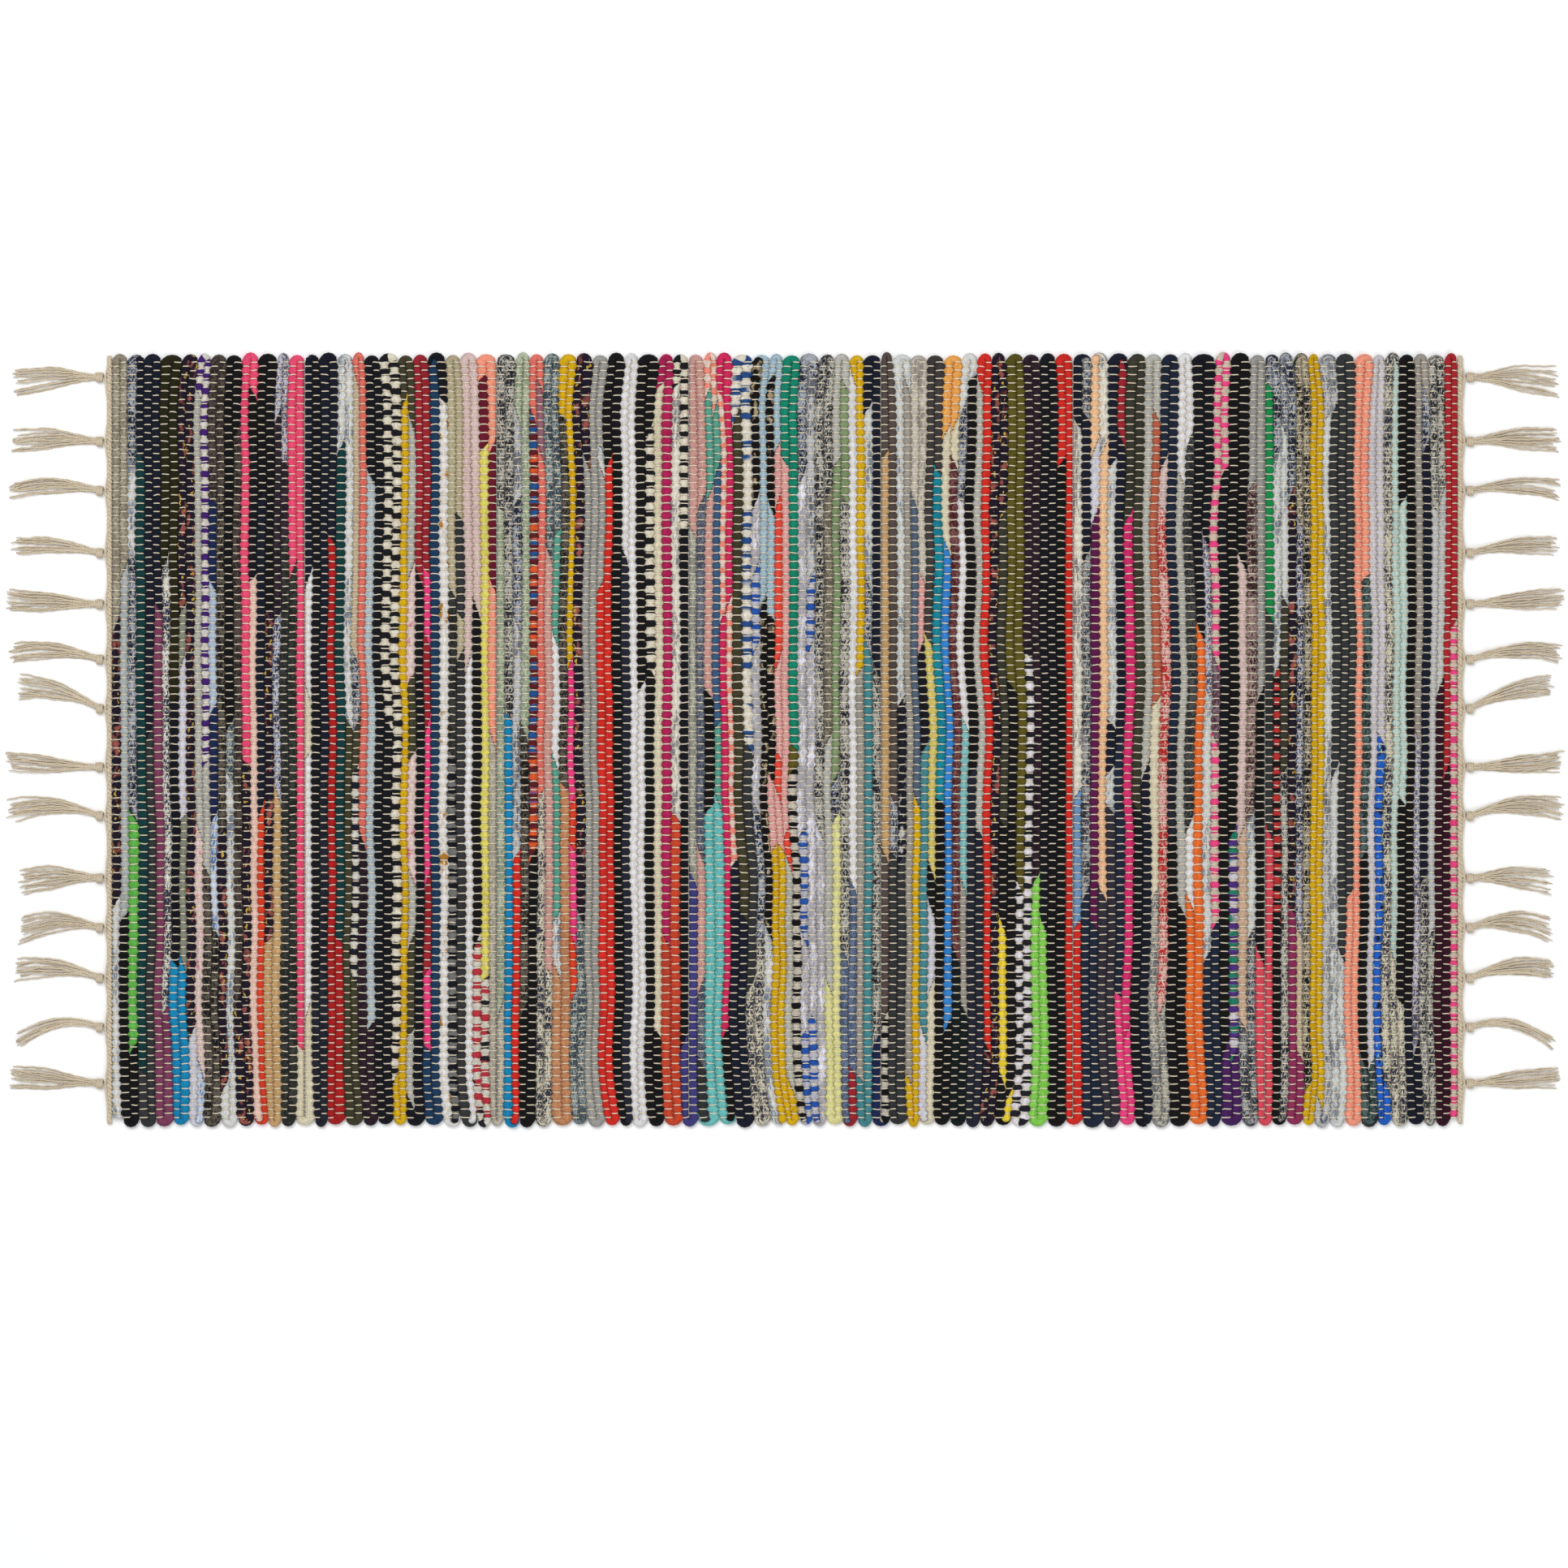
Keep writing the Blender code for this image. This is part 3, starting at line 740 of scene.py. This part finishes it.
strip_lengths = np.zeros(BANDS)
gathered = {piece: [] for piece in range(BANDS + len(panel_edges) - 2)}
for number, (name, _, _) in enumerate(strips):
    own, left, right = strip_rings(number)
    if len(own) < 2:
        continue
    points = ring_points(own, left, right)
    finish, _, *dyes = CLOTHS[name]
    dyes = [packed(dye(levels)) for levels in dyes]
    while len(dyes) < 3:
        dyes.append(dyes[-1])
    pieces_here = piece_of_sample[own]
    along = np.concatenate([[0], np.cumsum(np.hypot(np.diff(path["x"][own]), np.diff(path["y"][own])))])
    cuts = np.flatnonzero(np.diff(pieces_here)) + 1
    for first, last in zip([0, *cuts], [*cuts, len(own)]):
        piece = int(pieces_here[first])
        if piece < BANDS:
            strip_lengths[piece] += along[last - 1] - along[first]
        stop = last + 1 if last < len(own) and piece < BANDS and pieces_here[last] < BANDS else last
        start = first
        if piece >= BANDS:
            start = max(first - 1, 0)
            stop = min(last + 1, len(own))
        gathered[piece].append(
            (points[start:stop], along[start:stop], RAG_ORDER.index(finish), dyes, shifts[number])
        )


def ribbon_mesh(name, runs):
    """One closed tube for each run of rings, with its cloth's dyes and its own coordinates."""
    vertices = []
    faces = []
    caps = []
    kinds = []
    cap_kinds = []
    colours = [[], [], []]
    places = []
    base = 0
    for points, along, kind, dyes, shift in runs:
        count = len(points)
        if count < 2:
            continue
        vertices.append(points.reshape(-1, 3))
        grid = base + np.arange(count * ROUND).reshape(count, ROUND)
        turned = np.roll(grid, -1, axis=1)
        quads = np.stack([grid[:-1], turned[:-1], turned[1:], grid[1:]], axis=-1).reshape(-1, 4)
        faces.append(quads)
        kinds.append(np.full(len(quads), kind))
        caps.append(grid[0][::-1])
        caps.append(grid[-1])
        cap_kinds += [kind, kind]
        for store, colour in zip(colours, dyes):
            store.append(np.tile([*colour, 1.0], (count * ROUND, 1)))
        place = np.zeros((count, ROUND, 3))
        place[:, :, 0] = along[:, None]
        place[:, :, 1] = 0.0026 * np.cos(theta)
        place[:, :, 2] = 0.0026 * np.sin(theta)
        places.append((place + shift).reshape(-1, 3))
        base += count * ROUND
    vertices = np.concatenate(vertices)
    quads = np.concatenate(faces)
    loops = np.concatenate([quads.ravel(), np.concatenate(caps)])
    sizes = np.concatenate([np.full(len(quads), 4), np.full(len(caps), ROUND)])
    starts = np.concatenate([[0], np.cumsum(sizes)[:-1]])
    mesh = bpy.data.meshes.new(name)
    mesh.vertices.add(len(vertices))
    mesh.vertices.foreach_set("co", vertices.astype(np.float32).ravel())
    mesh.loops.add(len(loops))
    mesh.loops.foreach_set("vertex_index", loops.astype(np.int32))
    mesh.polygons.add(len(sizes))
    mesh.polygons.foreach_set("loop_start", starts.astype(np.int32))
    mesh.polygons.foreach_set("material_index", np.concatenate([*kinds, cap_kinds]).astype(np.int32))
    mesh.update(calc_edges=True)
    mesh.polygons.foreach_set("use_smooth", np.ones(len(sizes), bool))
    for label, store in zip(("dye_first", "dye_second", "dye_third"), colours):
        layer = mesh.attributes.new(label, "FLOAT_COLOR", "POINT")
        layer.data.foreach_set("color", np.concatenate(store).astype(np.float32).ravel())
    layer = mesh.attributes.new("strip_place", "FLOAT_VECTOR", "POINT")
    layer.data.foreach_set("vector", np.concatenate(places).astype(np.float32).ravel())
    for kind in RAG_ORDER:
        mesh.materials.append(RAG_KINDS[kind])
    mesh.validate()
    made = bpy.data.objects.new(name, mesh)
    bpy.context.scene.collection.objects.link(made)
    return made


# The woven cloth. Each band is its own run of rag strip and rides on its panel. The strip that turns
# at the selvedge beside a bend belongs to both panels, so it is a piece of its own, attached to neither.
body_names = ["panel_%d" % n for n in range(1, 8)]
for band in range(BANDS):
    node = "woven_band_%02d" % (band + 1)
    weft = ribbon_mesh("rag_weft_%02d" % (band + 1), gathered[band])
    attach(weft, body_names[band // 3])
    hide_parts(node)
for hinge in range(len(hinges)):
    turn = ribbon_mesh("selvedge_turn_%d" % (hinge + 1), gathered[BANDS + hinge])
    x = hinges[hinge]
    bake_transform(turn)


# The warps. 183 cotton threads lie along the rug, over one pick and under the next, and each one is half
# a step apart from its neighbour. They show as pale dashes, and each panel has its own run of them.
def yarn_mesh(name, yarns, sides, paint):
    """One closed tube for each yarn: its path, its half width and half height, and the way its side faces."""
    vertices = []
    faces = []
    places = []
    base = 0
    around = 2 * np.pi * (np.arange(sides) + 0.5) / sides
    for points, half_width, half_height, reference in yarns:
        count = len(points)
        tangent = np.gradient(points, axis=0)
        side = np.cross(tangent, reference)
        side /= np.linalg.norm(side, axis=1, keepdims=True)
        up = np.cross(side, tangent)
        up /= np.linalg.norm(up, axis=1, keepdims=True)
        wide = np.broadcast_to(half_width, (count,))[:, None, None] * np.cos(around)[None, :, None]
        high = np.broadcast_to(half_height, (count,))[:, None, None] * np.sin(around)[None, :, None]
        ring = points[:, None, :] + wide * side[:, None, :] + high * up[:, None, :]
        vertices.append(ring.reshape(-1, 3))
        grid = base + np.arange(count * sides).reshape(count, sides)
        turned = np.roll(grid, -1, axis=1)
        quads = np.stack([grid[:-1], grid[1:], turned[1:], turned[:-1]], axis=-1)
        faces += quads.reshape(-1, 4).tolist()
        faces.append(grid[0].tolist())
        faces.append(grid[-1][::-1].tolist())
        place = np.zeros((count, sides, 3))
        steps = np.linalg.norm(np.diff(points, axis=0), axis=1)
        place[:, :, 0] = np.concatenate([[0.0], np.cumsum(steps)])[:, None]
        place[:, :, 1] = np.cos(around)
        place[:, :, 2] = np.sin(around)
        places.append(place.reshape(-1, 3))
        base += count * sides
    mesh = bpy.data.meshes.new(name)
    mesh.from_pydata(np.concatenate(vertices).tolist(), [], faces)
    mesh.polygons.foreach_set("use_smooth", np.ones(len(faces), bool))
    layer = mesh.attributes.new("yarn_place", "FLOAT_VECTOR", "POINT")
    layer.data.foreach_set("vector", np.concatenate(places).astype(np.float32).ravel())
    mesh.materials.append(paint)
    made = bpy.data.objects.new(name, mesh)
    bpy.context.scene.collection.objects.link(made)
    return made


thread_paint, _, thread_shader = cloth_material("cotton_thread")
thread_shader.inputs["Base Color"].default_value = (*dye((226, 214, 188)), 1.0)
thread_shader.inputs["Roughness"].default_value = 0.85
thread_shader.inputs["Specular IOR Level"].default_value = 0.2
WARP_HALF_WIDTH = 0.00044
WARP_HALF_HEIGHT = 0.00036
WARP_CREST = 0.00268
WARP_SHOULDER = 0.24
WARP_SIDES = 5
HINGE_REACH = 0.0035
warp_ys = np.linspace(-WARP_EDGE, WARP_EDGE, WARPS)
bite_of_pick = 0.00022 * rng.normal(size=PICKS)
warp_paths = []
for warp in range(WARPS):
    row = 2 * warp
    over = np.where((warp + np.arange(PICKS)) % 2 == 1, 1.0, -1.0)
    middles = centres[:, row]
    spans = widths[:, row]
    shoulders = WARP_SHOULDER * spans
    xs = np.stack([middles - spans / 2, middles - shoulders, middles + shoulders], axis=1)
    bite = np.clip(0.0006 * (thick[:, row] - 1.0) + bite_of_pick, -0.0003, 0.0006)
    crest = mid_height + over * (WARP_CREST - bite)
    zs = np.stack([np.full(PICKS, mid_height), crest, crest], axis=1)
    ys = warp_ys[warp] + 0.0003 * rng.normal(size=xs.shape) * np.array([1.0, 0.5, 0.5])
    last_side = np.array([[weave_right, warp_ys[warp], mid_height]])
    path_points = np.stack([xs.ravel(), ys.ravel(), zs.ravel()], axis=1)
    warp_paths.append(np.concatenate([path_points, last_side]))


def cut_warps(low, high):
    """The stretch of each warp from one x to another, with both ends cut square."""
    yarns = []
    for points in warp_paths:
        inside = points[(points[:, 0] > low + 1e-5) & (points[:, 0] < high - 1e-5)]
        ends = [[x, *(np.interp(x, points[:, 0], points[:, k]) for k in (1, 2))] for x in (low, high)]
        run = np.concatenate([ends[:1], inside, ends[1:]])
        yarns.append((run, WARP_HALF_WIDTH, WARP_HALF_HEIGHT, (0.0, 0.0, 1.0)))
    return yarns


for panel, body in enumerate(body_names):
    low = panel_edges[panel] + (HINGE_REACH if panel > 0 else 0.0)
    high = panel_edges[panel + 1] - (HINGE_REACH if panel < len(body_names) - 1 else 0.0)
    warps = yarn_mesh("warp_threads_%d" % (panel + 1), cut_warps(low, high), WARP_SIDES, thread_paint)
    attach(warps, body)
for hinge, x in enumerate(hinges):
    yarns = cut_warps(x - HINGE_REACH, x + HINGE_REACH)
    warps = yarn_mesh("warp_bend_%d" % (hinge + 1), yarns, WARP_SIDES, thread_paint)
    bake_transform(warps)


# The headings and the tassels. The warp ends pass a twined cotton cord, gather by about thirteen into
# an overhand knot and hang loose beyond it. The yarn is undyed cotton, two plies twisted together.
yarn_paint, yarn_start, yarn_shader = cloth_material("cotton_yarn")
yarn_place = attribute(yarn_start, "yarn_place", "Vector")
yarn_parts = yarn_start.node("ShaderNodeSeparateXYZ", {}, {0: yarn_place})
yarn_along, yarn_cos, yarn_sin = (Wire(yarn_start.tree, out) for out in yarn_parts.socket.node.outputs)
turned = yarn_sin.maths("ARCTAN2", yarn_cos)
twist = (yarn_along * 2600.0 + turned * 2.0).maths("SINE")
lint = noise(yarn_start, stretched(yarn_start, yarn_place, (420.0, 2.0, 2.0)), 1.0)
# Painted shade: the colour darkens in the grooves between the two twisted plies, where the bump sinks. The
# lint noise makes the yarn darker and paler at random along its length.
ply_shade_and_lint = (twist * 0.20 + lint * 0.9 + 0.1).clamp()
yarn_shade_and_dark_fibre = (*dye((168, 152, 125)), 1.0)
yarn_pale_colour = (*dye((230, 216, 192)), 1.0)
feed(yarn_shader, ply_shade_and_lint.mix(yarn_shade_and_dark_fibre, yarn_pale_colour), "Base Color")
yarn_shader.inputs["Roughness"].default_value = 0.85
yarn_shader.inputs["Specular IOR Level"].default_value = 0.2
ply = {"Strength": 0.5, "Distance": 0.0003, "Height": twist * 0.5 + lint}
feed(yarn_shader, yarn_start.node("ShaderNodeBump", {}, ply), "Normal")

YARN_RADIUS = 0.00062
CORD_RADIUS = 0.00125
CORD_OUT = 0.0024  # from the last pick to the middle of the cord
GATHERED_RADIUS = 0.0005
WRAP_RADIUS = 0.0007
WRAP_PITCH = 0.00125
KNOT_HALF_WIDTH = 0.0042
KNOT_HALF_HEIGHT = 0.0035
TWINE_PITCH = 2 * WARP_STEP
YARNS_IN_TASSEL = 13
# Sway halfway, sway at the tip and half the spread of each skirt, from the far corner to the near one.
SKIRTS = (
    (0.000, -0.004, 0.0110),
    (0.003, 0.002, 0.0094),
    (0.004, 0.000, 0.0081),
    (0.006, 0.006, 0.0075),
    (0.002, 0.004, 0.0087),
    (0.007, 0.005, 0.0072),
    (0.013, 0.016, 0.0085),
    (0.002, 0.005, 0.0081),
    (0.008, 0.004, 0.0080),
    (0.001, -0.002, 0.0100),
    (0.005, -0.001, 0.0098),
    (0.008, 0.006, 0.0081),
    (0.003, -0.011, 0.0045),
    (0.003, 0.006, 0.0090),
)
swings = {joint["child"]: joint["pos_m"] for joint in frame["joints"]}
bodies = frame["record"]["behaviour"]["bodies"]
body_of_node = {node: body for body, nodes in bodies.items() for node in nodes}


def twined_cord(side, low, high):
    """Two strands that twist round each other along the end of the weave."""
    count = int((high - low) / TWINE_PITCH * 8)
    ys = np.linspace(low, high, count)
    middle_x = side * (abs(weave_right) + CORD_OUT)
    strands = []
    for phase in (0.0, math.pi):
        angle = 2 * math.pi * ys / TWINE_PITCH + phase
        xs = middle_x + 0.00105 * np.cos(angle)
        zs = mid_height + 0.00095 * np.sin(angle)
        reference = (0.0, 0.0, 1.0)
        strands.append((np.stack([xs, ys, zs], axis=1), CORD_RADIUS, CORD_RADIUS, reference))
    return strands


# The gathered ends stop where the knot can turn without touching them.
KNOT_ROOM = 0.0041


def gathered_end(side, warp, knot):
    """One warp end, from the last pick over or under the cord and along the edge to its knot."""
    start_y = warp_ys[warp]
    pull = knot[1] - start_y
    level = 0.0022 if warp % 2 else -0.0022
    edge = abs(weave_right)
    stations = np.array([0.0, 0.0016, 0.0032, 0.0045, 0.0054, abs(knot[0]) - edge - KNOT_ROOM])
    drift = np.array([0.0, 0.02, 0.10, 0.45, 0.82, 0.97])
    heights = np.array([0.0, level, level, 0.3 * level, 0.2 * level, 0.3 * level])
    fine = np.linspace(0, len(stations) - 1, 16)
    steps = np.arange(len(stations))
    xs = side * (edge + np.interp(fine, steps, stations))
    ys = start_y + pull * np.interp(fine, steps, drift)
    zs = mid_height + np.interp(fine, steps, heights)
    return np.stack([xs, ys, zs], axis=1), GATHERED_RADIUS, GATHERED_RADIUS, (0.0, 0.0, 1.0)


def knot_wrap(side, knot):
    """The turn of the overhand knot: four yarns side by side, wound round the others on a slant."""
    turns = []
    angle = np.linspace(-0.4 * math.pi, 2.1 * math.pi, 30)
    for yarn in range(4):
        radius_y = KNOT_HALF_WIDTH - WRAP_RADIUS - 0.0003 * abs(yarn - 1.5)
        radius_z = KNOT_HALF_HEIGHT - WRAP_RADIUS - 0.0003 * abs(yarn - 1.5)
        xs = knot[0] + side * ((yarn - 1.5) * WRAP_PITCH + 0.00055 * (angle / math.pi - 1.0))
        ys = knot[1] + radius_y * np.cos(angle)
        zs = knot[2] + radius_z * np.sin(angle)
        turns.append((np.stack([xs, ys, zs], axis=1), WRAP_RADIUS, WRAP_RADIUS, (1.0, 0.0, 0.0)))
    return turns


def skirt_yarns(side, knot, skirt, length):
    """The loose yarns of one tassel, which lie side by side in two layers and part towards their tips."""
    sway_middle, sway_tip, spread = skirt
    yarns = []
    along = np.linspace(0.0, 1.0, 24)
    sway = sway_middle * 4 * along * (1 - along) + sway_tip * along * (2 * along - 1)
    width = 0.0019 + (spread - 0.0022) * eased(along * 1.5) * (0.72 + 0.28 * along)
    for yarn in range(YARNS_IN_TASSEL):
        lateral = 2 * (yarn + 0.5) / YARNS_IN_TASSEL - 1 + 0.05 * rng.normal()
        own_length = length * (1 - 0.07 * rng.random() + 0.015 * rng.normal())
        wave = rng.random(2) * 2 * np.pi
        ripple = 0.00055 * along * np.sin(2 * np.pi * (1.1 + wave[1] / 5) * along + wave[0])
        crimp = 0.00022 * np.sin(2 * np.pi * 7 * along + 3 * wave[0])
        stray = 0.0016 * rng.normal() * along**3
        xs = knot[0] + side * (-0.0010 + (own_length + 0.0010) * along)
        ys = knot[1] + sway + lateral * width + ripple + crimp + stray
        lying = 0.0007 + 0.0013 * (yarn % 2) + 0.0009 * rng.random()
        settle = eased(along * 3.2)
        zs = (1 - settle) * (knot[2] + 0.0014 * (yarn % 3 - 1)) + settle * lying
        radius = YARN_RADIUS * np.where(along > 0.98, 0.5, 1.0) * (1 + 0.08 * rng.normal())
        yarns.append((np.stack([xs, ys, zs], axis=1), radius, radius, (0.0, 0.0, 1.0)))
    return yarns


fringe = {}
for end, side in (("left", -1), ("right", 1)):
    names = ["tassel_%s_%02d" % (end, number) for number in range(1, len(SKIRTS) + 1)]
    knots = [swings[body_of_node[name]] for name in names]
    knot_ys = np.array([knot[1] for knot in knots])
    heading = "heading_" + end
    yarns = twined_cord(side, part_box(heading)[0].y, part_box(heading)[1].y)
    for warp in range(WARPS):
        own = int(np.argmin(np.abs(knot_ys - warp_ys[warp])))
        yarns.append(gathered_end(side, warp, knots[own]))
    cord = yarn_mesh("twined_heading_" + end, yarns, 8, yarn_paint)
    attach(cord, body_of_node[heading])
    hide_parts(heading)
    fringe[end] = [cord]
    for name, knot, skirt in zip(names, knots, SKIRTS):
        low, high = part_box(name)
        length = max(abs(low.x), abs(high.x)) - abs(knot[0])
        yarns = skirt_yarns(side, knot, skirt, length) + knot_wrap(side, knot)
        tassel = yarn_mesh("yarns_" + name, yarns, 6, yarn_paint)
        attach(tassel, body_of_node[name])
        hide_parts(name)
        fringe[end].append(tassel)
